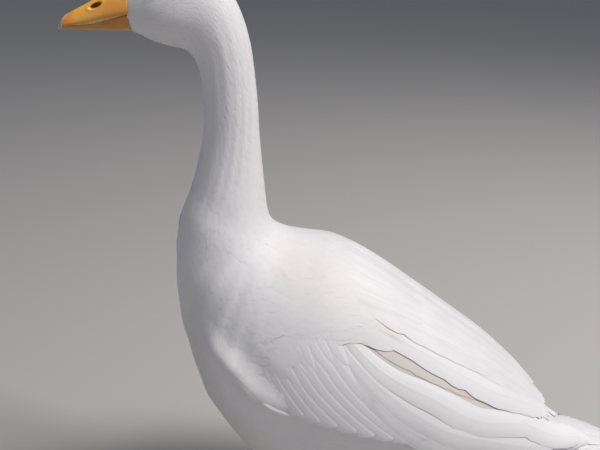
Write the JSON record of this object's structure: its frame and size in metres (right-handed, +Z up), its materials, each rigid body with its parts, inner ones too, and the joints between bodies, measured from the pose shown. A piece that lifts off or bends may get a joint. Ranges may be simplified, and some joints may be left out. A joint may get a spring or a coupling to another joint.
{
  "type": "domestic goose",
  "caption": "Life-size white domestic goose standing upright on webbed feet, neck raised, wings folded over the back and short fanned tail, as a still display figure.",
  "frame": {"origin": "middle of the bounding rectangle on the floor, under the bird", "axes": "+Z up, the bird faces -Y with its tail towards +Y, its left side is +X"},
  "size_m": [0.2256, 0.6316, 0.6706],
  "materials": {
    "plumage": "soft white body feathers",
    "flight_feathers": "smooth white wing and tail feathers",
    "bill": "satin orange horn skin",
    "nail": "pale horn",
    "leg_skin": "orange scaled skin",
    "claw": "horn",
    "eye": "wet and glossy"
  },
  "bodies": {
    "root": {"bill_lower": "bill", "bill_nail": "nail", "bill_upper": "bill", "claw_hind_left": "claw", "claw_hind_right": "claw", "claw_inner_left": "claw", "claw_inner_right": "claw", "claw_middle_left": "claw", "claw_middle_right": "claw", "claw_outer_left": "claw", "claw_outer_right": "claw", "coverts_left": "flight_feathers", "coverts_right": "flight_feathers", "eye_left": "eye", "eye_right": "eye", "foot_left": "leg_skin", "foot_right": "leg_skin", "head": "plumage", "neck_lower": "plumage", "neck_upper": "plumage", "primaries_left": "flight_feathers", "primaries_right": "flight_feathers", "scapulars_left": "flight_feathers", "scapulars_right": "flight_feathers", "secondaries_left": "flight_feathers", "secondaries_right": "flight_feathers", "shank_left": "leg_skin", "shank_right": "leg_skin", "tail": "flight_feathers", "tertials_left": "flight_feathers", "tertials_right": "flight_feathers", "thigh_left": "plumage", "thigh_right": "plumage", "trunk": "plumage"}
  },
  "joints": []
}
